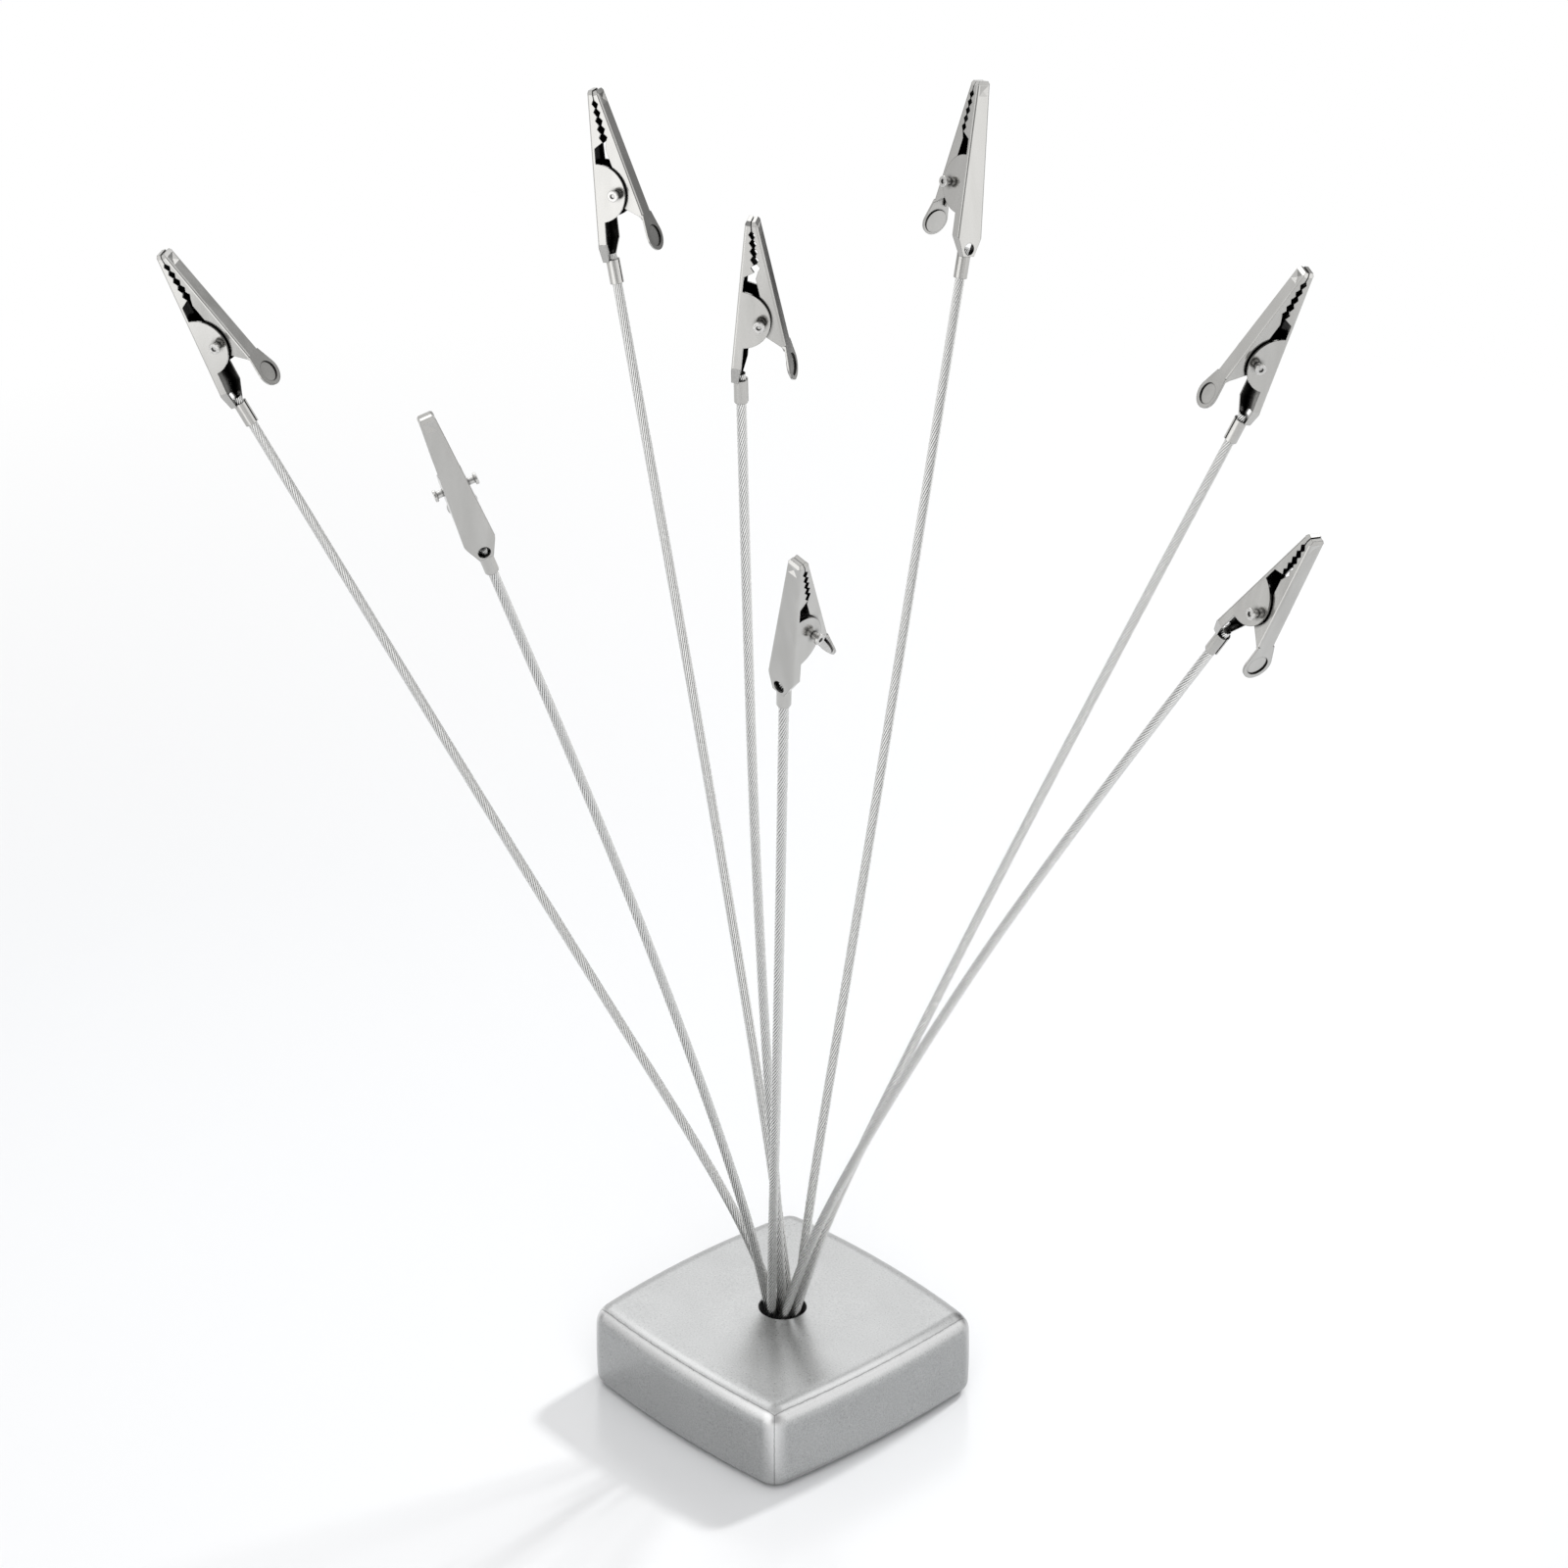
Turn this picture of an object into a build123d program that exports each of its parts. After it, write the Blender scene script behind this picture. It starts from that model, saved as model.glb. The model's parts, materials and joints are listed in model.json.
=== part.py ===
from build123d import *
from math import acos, atan2, cos, degrees, hypot, pi, radians, sin, sqrt, tan
import os

# Photo tree: a soft-edged steel block with eight wire rope stems, each ending in a crocodile clip.
# Millimetres, origin at the middle of the underside, Z up, the block's sides along X and Y.

os.makedirs("parts", exist_ok=True)

# Base block
BASE_SIDE = 64.0
BASE_TOP = 21.0
SIDE_CROWN_RADIUS = 240.0
TOP_CROWN_RADIUS = 1200.0
BASE_EDGE_RADIUS = 4.8
BASE_FOOT_RADIUS = 2.5

# Pad under the block
PAD_SIDE = 44.0
PAD_CORNER_RADIUS = 6.0
PAD_THICKNESS = 1.5
PAD_STANDS_PROUD = 0.5
PAD_CLEARANCE = 0.1

# Bore through the block and the socket that fills it from below
BORE_DIAMETER = 10.4
BORE_EDGE_RADIUS = 0.3
SOCKET_BELOW_TOP = 4.5
FLANGE_DIAMETER = 18.0
FLANGE_THICKNESS = 3.0
STEM_RING_RADIUS = 3.0
STEM_RING_COUNT = 7
STEM_RING_START = 4.0
STEM_SEAT_DEPTH = 11.0
GLUE_CLEARANCE = 0.05

# Stems: runs measured along the wire, from where it leaves the socket
STEM_DIAMETER = 2.1
RISE_ABOVE_SOCKET = 2.5
EXIT_RUN = 30.0
LOW_RUN = 55.0
MIDDLE_RUN = 75.0
TOP_RUN = 76.0
EXIT_LEAN_SHARE = 0.72
SOCKET_BEND_RADIUS = 12.0
EXIT_BEND_RADIUS = 150.0
BOW_BEND_RADIUS = 600.0
BEND_POINT = 12.0
BEND_GAP = 0.15
STEM_TIP_ROUNDING = 1.0

# Where each stem stands and points: slot in the socket's ring (none is the middle), compass heading,
# lean from upright at the top, how much less it leans low down, and how the clip is turned on the stem
STEMS = {
    1: {"slot": 3, "heading": 216.5, "lean": 29.0, "bow": -1.0, "roll": 168.0},
    2: {"slot": 4, "heading": 278.0, "lean": 24.0, "bow": 3.5, "roll": 236.0},
    3: {"slot": 2, "heading": 176.5, "lean": 16.0, "bow": 2.5, "roll": 208.0},
    4: {"slot": None, "heading": 296.0, "lean": 3.0, "bow": -5.5, "roll": 99.0},
    5: {"slot": 5, "heading": 319.0, "lean": 24.5, "bow": -5.5, "roll": 134.0},
    6: {"slot": 1, "heading": 104.0, "lean": 15.5, "bow": -1.0, "roll": 71.0},
    7: {"slot": 0, "heading": 45.5, "lean": 24.0, "bow": 1.5, "roll": 205.0},
    8: {"slot": 6, "heading": 7.0, "lean": 32.5, "bow": 6.0, "roll": 341.0},
}

# Clip sheet metal, shared by both jaws
SHEET = 0.4
FOLD_RADIUS = 0.5
PIN_TO_NOSE = 21.9
NOSE_HALF_WIDTH = 1.7
NOSE_DEPTH = 1.2
NOSE_GAP = 0.06
NOSE_LAND = 1.9
NOSE_CORNER_WIDTH = 0.45
NOSE_CORNER_LENGTH = 0.9
NOSE_PLATE_DROP = 0.3
NOSE_DENT = 2.3
NOSE_DENT_DEPTH = 0.25
TOOTH_COUNT = 5
TOOTH_PITCH = 1.8
TOOTH_DEPTH = 0.6
MOUTH_GAPE = 0.025
THROAT_RAMP = 1.4

# Fixed jaw, with the barrel that is crimped on the stem
PIN_FROM_BARREL_END = 19.7
FIXED_PIN_HEIGHT = 5.2
FIXED_THROAT_WALL = 0.9
EAR_RADIUS = 6.3
EAR_DROP = 4.3
REAR_WALL = 2.1
SHOULDER_HALF_WIDTH = 3.3
SHOULDER_FROM_PIN = 11.0
NECK_OVERLAP = 0.8
CLIP_TILT = 4.7
BARREL_LENGTH = 5.2
BARREL_SLOT = 0.35
BARREL_LIP_RADIUS = 0.18
STEM_GRIP = 6.5
WINDOW_DIAMETER = 2.6
CRIMP_CLEARANCE = 0.03

# Lever jaw
LEVER_PIN_HEIGHT = 3.8
LEVER_THROAT_WALL = 2.9
LEVER_HALF_WIDTH_AT_PIN = 1.9
TONGUE_RADIUS = 2.4
TONGUE_FRONT = 7.0
TONGUE_REAR = 7.0
THUMB_RADIUS = 3.2
THUMB_FROM_PIN = 11.0
THUMB_NECK_FROM_PIN = 6.0
DISH_RADIUS = 2.3
DISH_DEPTH = 0.3

# Pivot pin
PIN_DIAMETER = 1.5
PIN_LENGTH = 9.4
PIN_HEAD_DIAMETER = 2.5
PIN_HEAD_THICKNESS = 0.7
PIN_HEAD_ROUNDING = 0.2
PIN_HEAD_HOLE = 1.1
PIN_PRESS_CLEARANCE = 0.02
PIN_RUNNING_CLEARANCE = 0.05

# Torsion spring on the pin
SPRING_WIRE = 0.5
SPRING_RADIUS = 1.35
SPRING_TURNS = 1
SPRING_PITCH = 1.6
SPRING_LEG_REACH = 6.6
SPRING_SEAT_GAP = 0.08
SPRING_GAP_SAMPLES = 400

# Worked out from the sizes above
STEM_RADIUS = STEM_DIAMETER / 2
BLOCK_BOTTOM = PAD_STANDS_PROUD
BLOCK_MIDDLE = (BASE_TOP + BLOCK_BOTTOM) / 2
SOCKET_TOP = BASE_TOP - SOCKET_BELOW_TOP
POCKET_DEPTH = PAD_THICKNESS - PAD_STANDS_PROUD
FIXED_SLOPE = degrees(atan2(FIXED_PIN_HEIGHT - NOSE_DEPTH, PIN_TO_NOSE))
LEVER_SLOPE = degrees(atan2(LEVER_PIN_HEIGHT - NOSE_DEPTH, PIN_TO_NOSE))
FIXED_TILT = FIXED_SLOPE - CLIP_TILT
LEVER_TILT = LEVER_SLOPE + CLIP_TILT
NECK_FROM_PIN = (PIN_FROM_BARREL_END - BARREL_LENGTH) / cos(radians(FIXED_TILT)) + NECK_OVERLAP
BARREL_BORE = STEM_RADIUS + CRIMP_CLEARANCE
BARREL_RADIUS = BARREL_BORE + SHEET
PIN_ABOVE_STEM = (
    (FIXED_PIN_HEIGHT - SHEET) / cos(radians(FIXED_TILT))
    + (PIN_FROM_BARREL_END - STEM_GRIP) * tan(radians(FIXED_TILT))
    - BARREL_BORE
)
WIDE = 4 * SHOULDER_HALF_WIDTH + PIN_LENGTH
END_CUT = 4 * SHEET


def write(name, shape):
    """Writes one node, as one solid."""
    solid = shape.solid()
    solid.label = name
    export_step(solid, f"parts/{name}.step")


# Base


def crowned_block():
    """The block: crowned sides and top, flat underside, soft edges, bored and pocketed."""
    height = BASE_TOP - BLOCK_BOTTOM
    block = Pos(0, 0, BLOCK_MIDDLE) * Box(BASE_SIDE, BASE_SIDE, height)
    offset_side = SIDE_CROWN_RADIUS - BASE_SIDE / 2
    for direction in ((1, 0), (-1, 0), (0, 1), (0, -1)):
        centre = Pos(-direction[0] * offset_side, -direction[1] * offset_side, BLOCK_MIDDLE)
        block = block & (centre * Sphere(SIDE_CROWN_RADIUS))
    block = block & (Pos(0, 0, BASE_TOP - TOP_CROWN_RADIUS) * Rot(90, 0, 0) * Sphere(TOP_CROWN_RADIUS))
    foot_edges = block.edges().group_by(Axis.Z)[0]
    block = fillet(block.edges() - foot_edges, BASE_EDGE_RADIUS)
    underside = block.faces().sort_by(Axis.Z)[0]
    block = fillet(underside.edges(), BASE_FOOT_RADIUS)

    bore = Pos(0, 0, BASE_TOP / 2) * Cylinder(BORE_DIAMETER / 2, 2 * BASE_TOP)
    block = block - bore
    rims = [e for e in block.edges() if abs(e.bounding_box().size.X - BORE_DIAMETER) < BORE_EDGE_RADIUS]
    rim = ShapeList(rims).sort_by(Axis.Z)[-1]
    block = fillet(rim, BORE_EDGE_RADIUS)

    pocket = RectangleRounded(PAD_SIDE, PAD_SIDE, PAD_CORNER_RADIUS)
    block = block - Pos(0, 0, BLOCK_BOTTOM) * extrude(pocket, POCKET_DEPTH)
    seat_radius = FLANGE_DIAMETER / 2 + GLUE_CLEARANCE
    seat_height = PAD_THICKNESS + FLANGE_THICKNESS
    seat = Cylinder(seat_radius, seat_height, align=(Align.CENTER, Align.CENTER, Align.MIN))
    return block - seat


def pad():
    """Soft square pad glued in the pocket, which the block stands on."""
    side = PAD_SIDE - 2 * PAD_CLEARANCE
    return extrude(RectangleRounded(side, side, PAD_CORNER_RADIUS - PAD_CLEARANCE), PAD_THICKNESS)


def stem_foot(stem):
    """Point on the socket's holes, seen from above, where a stem stands."""
    if stem["slot"] is None:
        return Vector(0, 0, 0)
    angle = radians(STEM_RING_START + stem["slot"] * 360 / STEM_RING_COUNT)
    return Vector(STEM_RING_RADIUS * cos(angle), STEM_RING_RADIUS * sin(angle), 0)


def socket():
    """Flanged plug pushed up the bore from below, with a blind hole for each stem."""
    low = (Align.CENTER, Align.CENTER, Align.MIN)
    height = SOCKET_TOP - PAD_THICKNESS
    plug = Cylinder(BORE_DIAMETER / 2 - GLUE_CLEARANCE, height, align=low)
    plug = plug + Cylinder(FLANGE_DIAMETER / 2, FLANGE_THICKNESS, align=low)
    hole = Cylinder(STEM_RADIUS + GLUE_CLEARANCE, 2 * STEM_SEAT_DEPTH)
    for stem in STEMS.values():
        plug = plug - Pos(stem_foot(stem) + Vector(0, 0, height)) * hole
    return Pos(0, 0, PAD_THICKNESS) * plug


# Stems


def stem_points(stem):
    """The stem's route: foot, top of the upright run, three bends and the clip's barrel."""
    heading = radians(stem["heading"])
    outward = Vector(cos(heading), sin(heading), 0)
    low_lean = stem["lean"] - stem["bow"]
    leans = (EXIT_LEAN_SHARE * low_lean, low_lean, low_lean + stem["bow"] / 2, stem["lean"])
    runs = (EXIT_RUN, LOW_RUN, MIDDLE_RUN, TOP_RUN + STEM_GRIP)
    foot = stem_foot(stem)
    points = [
        foot + Vector(0, 0, SOCKET_TOP - STEM_SEAT_DEPTH),
        foot + Vector(0, 0, SOCKET_TOP + RISE_ABOVE_SOCKET),
    ]
    for lean, run in zip(leans, runs):
        direction = outward * sin(radians(lean)) + Vector(0, 0, cos(radians(lean)))
        points.append(points[-1] + direction * run)
    return points


def wire_tube(points, radii):
    """Round wire along straight runs joined by tangent arcs."""
    path = FilletPolyline(*points, radius=radii)
    start = Plane(origin=points[0], z_dir=points[1] - points[0])
    return sweep(start * Circle(STEM_RADIUS), path=path)


def stem_root(points):
    """The wire from its seat to just below the bend point."""
    along = (points[2] - points[1]).normalized()
    end = points[1] + along * (BEND_POINT - STEM_RADIUS - BEND_GAP)
    return wire_tube([points[0], points[1], end], [SOCKET_BEND_RADIUS])


def stem_arm(points):
    """The wire from the bend point, where its end is rounded, to its end inside the clip."""
    along = (points[2] - points[1]).normalized()
    start = points[1] + along * (BEND_POINT - STEM_RADIUS)
    radii = [EXIT_BEND_RADIUS, BOW_BEND_RADIUS, BOW_BEND_RADIUS]
    arm = wire_tube([start] + points[2:], radii)
    tip = arm.edges().filter_by(GeomType.CIRCLE).sort_by(Axis.Z)[0]
    return fillet(tip, STEM_TIP_ROUNDING)


def clip_plane(stem, points):
    """Where the clip sits: origin at the barrel's end, X towards the nose, Z towards the lever."""
    along = (points[-1] - points[-2]).normalized()
    heading = radians(stem["heading"])
    across = Vector(-sin(heading), cos(heading), 0)
    out = across.cross(along)
    roll = radians(stem["roll"])
    lever_side = out * cos(roll) + along.cross(out) * sin(roll)
    return Plane(origin=points[-1] - along * STEM_GRIP, x_dir=along, z_dir=lever_side)


# Clip: both jaws are drawn with the pin at the origin, the nose along X and the plate below


def side_sheet(sketch):
    """A side view, drawn as length and height, as a slab across the clip."""
    return extrude(Plane.XZ * sketch, WIDE, both=True)


def plan_sheet(sketch):
    """A view from above, as a tall slab."""
    return extrude(sketch, WIDE, both=True)


def mouth_edge(pin_height, throat_wall):
    """The toothed edge from the nose to the throat, as length and height."""
    slope = (pin_height - NOSE_DEPTH) / PIN_TO_NOSE

    def edge(x):
        return -slope * x - NOSE_GAP - MOUTH_GAPE * (PIN_TO_NOSE - x)

    first = PIN_TO_NOSE - NOSE_LAND
    outline = [(PIN_TO_NOSE, edge(PIN_TO_NOSE)), (first, edge(first))]
    for tooth in range(TOOTH_COUNT):
        valley = first - (tooth + 0.5) * TOOTH_PITCH
        tip = first - (tooth + 1) * TOOTH_PITCH
        outline.append((valley, edge(valley) - TOOTH_DEPTH))
        outline.append((tip, edge(tip)))
    throat = outline[-1][0] - THROAT_RAMP
    outline.append((throat, throat_wall - pin_height))
    return outline


def nose_plan():
    """Corners of the nose seen from above, pinched in at the tip."""
    tip = NOSE_HALF_WIDTH - NOSE_CORNER_WIDTH
    shoulder = PIN_TO_NOSE - NOSE_CORNER_LENGTH
    return [
        (shoulder, NOSE_HALF_WIDTH),
        (PIN_TO_NOSE, tip),
        (PIN_TO_NOSE, -tip),
        (shoulder, -NOSE_HALF_WIDTH),
    ]


def polygon(points):
    """A flat outline from its corners."""
    return make_face(Polyline(*points, close=True))


def nose_dent(plate_height):
    """Shallow four-sided dent in the plate's outer face at the nose."""
    wedge = polygon([(-NOSE_DENT, -NOSE_DENT_DEPTH), (NOSE_DENT, -NOSE_DENT_DEPTH), (0, NOSE_DENT_DEPTH)])
    lengthways = extrude(Plane.XZ * wedge, WIDE, both=True)
    crossways = extrude(Plane.YZ * wedge, WIDE, both=True)
    middle = PIN_TO_NOSE - NOSE_CORNER_LENGTH - NOSE_DENT / 2
    return Pos(middle, 0, plate_height) * (lengthways & crossways)


def hollow(outer, plan, plate_height):
    """Opens the inside of a jaw, leaving the sheet's thickness in the plate and the walls."""
    inner = offset(plan, -SHEET, kind=Kind.INTERSECTION)
    return outer - Pos(0, 0, plate_height + SHEET) * extrude(inner, WIDE)


def fold_edges(jaw, keep_from):
    """The long folds and the nose's edge, on the plate's outer face in front of keep_from."""
    plate = jaw.faces().sort_by(Axis.Z)[0]
    return [e for e in plate.edges() if e.center().X > keep_from]


def fixed_jaw_blank():
    """The fixed jaw's channel, in the jaw's own frame."""
    bottom = -FIXED_PIN_HEIGHT
    outline = mouth_edge(FIXED_PIN_HEIGHT, FIXED_THROAT_WALL)
    outline += [
        (0, FIXED_THROAT_WALL + bottom),
        (0, REAR_WALL + bottom),
        (-SHOULDER_FROM_PIN, REAR_WALL + bottom),
        (-NECK_FROM_PIN, BARREL_RADIUS + bottom),
        (-NECK_FROM_PIN, bottom),
        (PIN_TO_NOSE - NOSE_CORNER_LENGTH, bottom),
        (PIN_TO_NOSE, bottom + NOSE_PLATE_DROP),
    ]
    ear = Pos(0, -EAR_DROP) * Circle(EAR_RADIUS)
    ear = ear & Pos(0, bottom) * Rectangle(WIDE, WIDE, align=(Align.CENTER, Align.MIN))
    plan = polygon(
        nose_plan()
        + [
            (-SHOULDER_FROM_PIN, -SHOULDER_HALF_WIDTH),
            (-NECK_FROM_PIN, -BARREL_RADIUS),
            (-NECK_FROM_PIN, BARREL_RADIUS),
            (-SHOULDER_FROM_PIN, SHOULDER_HALF_WIDTH),
        ]
    )
    jaw = side_sheet(polygon(outline) + ear) & plan_sheet(plan)
    jaw = fillet(fold_edges(jaw, -SHOULDER_FROM_PIN), FOLD_RADIUS)
    jaw = hollow(jaw, plan, bottom) - nose_dent(bottom)
    return jaw - pin_hole(PIN_PRESS_CLEARANCE)


def lever_jaw_blank():
    """The lever jaw's channel, tongue and thumb disc, in the jaw's own frame."""
    bottom = -LEVER_PIN_HEIGHT
    outline = mouth_edge(LEVER_PIN_HEIGHT, LEVER_THROAT_WALL)
    thumb_end = THUMB_FROM_PIN + THUMB_RADIUS
    outline += [
        (0, LEVER_THROAT_WALL + bottom),
        (0, SHEET + bottom),
        (-thumb_end, SHEET + bottom),
        (-thumb_end, bottom),
        (PIN_TO_NOSE - NOSE_CORNER_LENGTH, bottom),
        (PIN_TO_NOSE, bottom + NOSE_PLATE_DROP),
    ]
    root = Line((TONGUE_FRONT, bottom), (-TONGUE_REAR, bottom))
    tongue = make_hull(Circle(TONGUE_RADIUS).edges() + [root])
    flare = (LEVER_HALF_WIDTH_AT_PIN - NOSE_HALF_WIDTH) / PIN_TO_NOSE
    neck_half = LEVER_HALF_WIDTH_AT_PIN + flare * TONGUE_REAR
    taper = polygon(
        nose_plan()
        + [
            (-TONGUE_REAR, -neck_half),
            (-TONGUE_REAR, neck_half),
        ]
    )
    neck_end = LEVER_HALF_WIDTH_AT_PIN + flare * THUMB_NECK_FROM_PIN
    neck = Line((-THUMB_NECK_FROM_PIN, neck_end), (-THUMB_NECK_FROM_PIN, -neck_end))
    thumb = make_hull((Pos(-THUMB_FROM_PIN, 0) * Circle(THUMB_RADIUS)).edges() + [neck])
    jaw = side_sheet(polygon(outline) + tongue) & plan_sheet(taper + thumb)
    jaw = fillet(fold_edges(jaw, -THUMB_NECK_FROM_PIN), FOLD_RADIUS)
    inner = offset(taper, -SHEET, kind=Kind.INTERSECTION)
    inner = inner + Pos(-TONGUE_REAR, 0) * Rectangle(END_CUT, 2 * (neck_half - SHEET))
    jaw = jaw - Pos(0, 0, bottom + SHEET) * extrude(inner, WIDE)

    dish = Pos(-THUMB_FROM_PIN, 0, bottom + DISH_DEPTH / 2) * Cylinder(DISH_RADIUS, DISH_DEPTH)
    boss_radius = DISH_RADIUS + DISH_DEPTH
    boss = Pos(-THUMB_FROM_PIN, 0, bottom + SHEET + DISH_DEPTH / 2) * Cylinder(boss_radius, DISH_DEPTH)
    return jaw - dish + boss - nose_dent(bottom) - pin_hole(PIN_RUNNING_CLEARANCE)


def pin_hole(clearance):
    """Hole through both walls of a jaw."""
    return Rot(90, 0, 0) * Cylinder(PIN_DIAMETER / 2 + clearance, WIDE)


def barrel():
    """Sheet rolled round the stem, with the seam towards the lever."""
    ring = Circle(BARREL_RADIUS) - Circle(BARREL_BORE)
    ring = ring - Pos(0, BARREL_RADIUS) * Rectangle(BARREL_SLOT, 2 * BARREL_RADIUS)
    lips = ring.vertices().sort_by(Axis.Y)[-4:]
    ring = fillet(lips, BARREL_LIP_RADIUS)
    section = Plane(origin=(0, 0, 0), x_dir=(0, 1, 0), z_dir=(1, 0, 0))
    return extrude(section * ring, BARREL_LENGTH)


def fixed_jaw():
    """Fixed jaw in the clip's frame: channel, barrel and the window over the stem's end."""
    pin = Pos(PIN_FROM_BARREL_END, 0, PIN_ABOVE_STEM)
    jaw = pin * Rot(0, -FIXED_TILT, 0) * fixed_jaw_blank()
    jaw = jaw + barrel()
    window = Pos(STEM_GRIP, 0, -BARREL_RADIUS) * Cylinder(WINDOW_DIAMETER / 2, 2 * BARREL_RADIUS)
    jaw = jaw - window
    bore = Rot(0, 90, 0) * Cylinder(BARREL_BORE, 2 * STEM_GRIP)
    return jaw - bore


def lever_jaw():
    """Lever jaw in the clip's frame, turned over to face the fixed one."""
    pin = Pos(PIN_FROM_BARREL_END, 0, PIN_ABOVE_STEM)
    return pin * Rot(0, LEVER_TILT, 0) * Rot(180, 0, 0) * lever_jaw_blank()


def pivot_pin():
    """Pin pressed in the fixed jaw's ears, with flared, hollow ends."""
    high = (Align.CENTER, Align.CENTER, Align.MAX)
    head = Cylinder(PIN_HEAD_DIAMETER / 2, PIN_HEAD_THICKNESS, align=high)
    head = fillet(head.edges(), PIN_HEAD_ROUNDING)
    head = head - Cylinder(PIN_HEAD_HOLE / 2, PIN_HEAD_THICKNESS)
    end = Pos(0, 0, PIN_LENGTH / 2) * head
    pin = Cylinder(PIN_DIAMETER / 2, PIN_LENGTH - PIN_HEAD_THICKNESS)
    pin = pin + end + Rot(180, 0, 0) * end
    return Pos(PIN_FROM_BARREL_END, 0, PIN_ABOVE_STEM) * Rot(90, 0, 0) * pin


def biarc(start, start_way, end, end_way):
    """Two tangent arcs between two points with given directions."""
    chord = end - start
    ways = start_way + end_way
    a = 4 - ways.dot(ways)
    b = 2 * chord.dot(ways)
    reach = (-b + sqrt(b * b + 4 * a * chord.dot(chord))) / (2 * a)
    middle = (start + start_way * reach + end - end_way * reach) * 0.5
    middle_way = end - end_way * reach - start - start_way * reach
    return [
        TangentArc(start, middle, tangent=start_way),
        TangentArc(middle, end, tangent=middle_way),
    ]


def spring_leg(tilt, plate_distance, side):
    """End of a spring leg: against a jaw's plate, behind the pin, on the side given."""
    seat = plate_distance - SHEET - SPRING_WIRE / 2 - SPRING_SEAT_GAP
    height = seat / cos(radians(tilt)) + SPRING_LEG_REACH * tan(radians(tilt))
    return -SPRING_LEG_REACH, side * height


def torsion_spring():
    """Coil round the pin with one leg on each jaw's plate, as one unbroken wire."""
    low_end = spring_leg(FIXED_TILT, FIXED_PIN_HEIGHT, -1)
    high_end = spring_leg(LEVER_TILT, LEVER_PIN_HEIGHT, 1)

    def touch(end, side):
        distance = hypot(*end)
        return atan2(end[1], end[0]) + side * acos(SPRING_RADIUS / distance)

    first = touch(low_end, 1)
    last = touch(high_end, -1) + 2 * pi * (SPRING_TURNS + 1)
    while last - first > 2 * pi * (SPRING_TURNS + 1):
        last -= 2 * pi
    sweep_angle = last - first
    quarters = 4 * SPRING_TURNS + 2
    step = sweep_angle / quarters
    rise = SPRING_PITCH / (2 * pi)
    width = rise * (sweep_angle - step)

    def point(quarter):
        angle = first + quarter * step
        run = max(0.0, quarter - 0.5) - max(0.0, quarter - quarters + 0.5)
        edge = (quarter == 0) or (quarter == quarters)
        across = rise * step * run - width / 2
        slope = 0.0 if edge else rise
        place = Vector(SPRING_RADIUS * cos(angle), across, SPRING_RADIUS * sin(angle))
        way = Vector(-SPRING_RADIUS * sin(angle), slope, SPRING_RADIUS * cos(angle)).normalized()
        return place, way

    nodes = [point(q) for q in range(quarters + 1)]
    low_tip = Vector(low_end[0], nodes[0][0].Y, low_end[1])
    high_tip = Vector(high_end[0], nodes[-1][0].Y, high_end[1])
    edges = [Line(low_tip, nodes[0][0])]
    for (start, start_way), (end, end_way) in zip(nodes, nodes[1:]):
        edges += biarc(start, start_way, end, end_way)
    edges.append(Line(nodes[-1][0], high_tip))
    path = Wire(edges)
    section = Plane(origin=low_tip, z_dir=nodes[0][0] - low_tip) * Circle(SPRING_WIRE / 2)
    print("spring gap to itself", round(least_gap(path, SPRING_WIRE), 2))
    place = Pos(PIN_FROM_BARREL_END, 0, PIN_ABOVE_STEM)
    return place * sweep(section, path=path)


def least_gap(path, thickness):
    """Least gap between stretches of a wire that aren't next to each other."""
    points = [path @ (i / SPRING_GAP_SAMPLES) for i in range(SPRING_GAP_SAMPLES + 1)]
    near = round(SPRING_GAP_SAMPLES * pi * SPRING_RADIUS / path.length)
    gaps = []
    for i, here in enumerate(points):
        for there in points[i + near :]:
            gaps.append((here - there).length - thickness)
    return min(gaps)


# Build and write every node

write("base_block", crowned_block())
write("base_pad", pad())
write("stem_socket", socket())

clip_nodes = {
    "fixed_jaw": fixed_jaw(),
    "lever_jaw": lever_jaw(),
    "pivot_pin": pivot_pin(),
    "torsion_spring": torsion_spring(),
}

for number, stem in STEMS.items():
    route = stem_points(stem)
    write(f"stem_{number}_root", stem_root(route))
    write(f"stem_{number}", stem_arm(route))
    seat = clip_plane(stem, route).location
    for name, solid in clip_nodes.items():
        write(f"clip_{number}_{name}", seat * solid)
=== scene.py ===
import json
import math

import bpy
from mathutils import Matrix, Vector


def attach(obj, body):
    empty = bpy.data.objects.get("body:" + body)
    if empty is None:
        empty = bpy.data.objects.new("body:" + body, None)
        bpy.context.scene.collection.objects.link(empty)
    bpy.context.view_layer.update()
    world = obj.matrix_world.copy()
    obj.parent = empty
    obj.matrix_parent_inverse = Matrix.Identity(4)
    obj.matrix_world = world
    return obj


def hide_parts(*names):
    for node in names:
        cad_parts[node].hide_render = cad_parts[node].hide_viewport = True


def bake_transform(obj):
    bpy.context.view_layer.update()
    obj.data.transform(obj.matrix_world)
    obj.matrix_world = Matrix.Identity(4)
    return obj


# Photo tree: eight wire rope stems, each with a crocodile clip, standing in a satin steel block.
# Metres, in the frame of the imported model: Z up, origin under the middle of the block.

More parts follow.
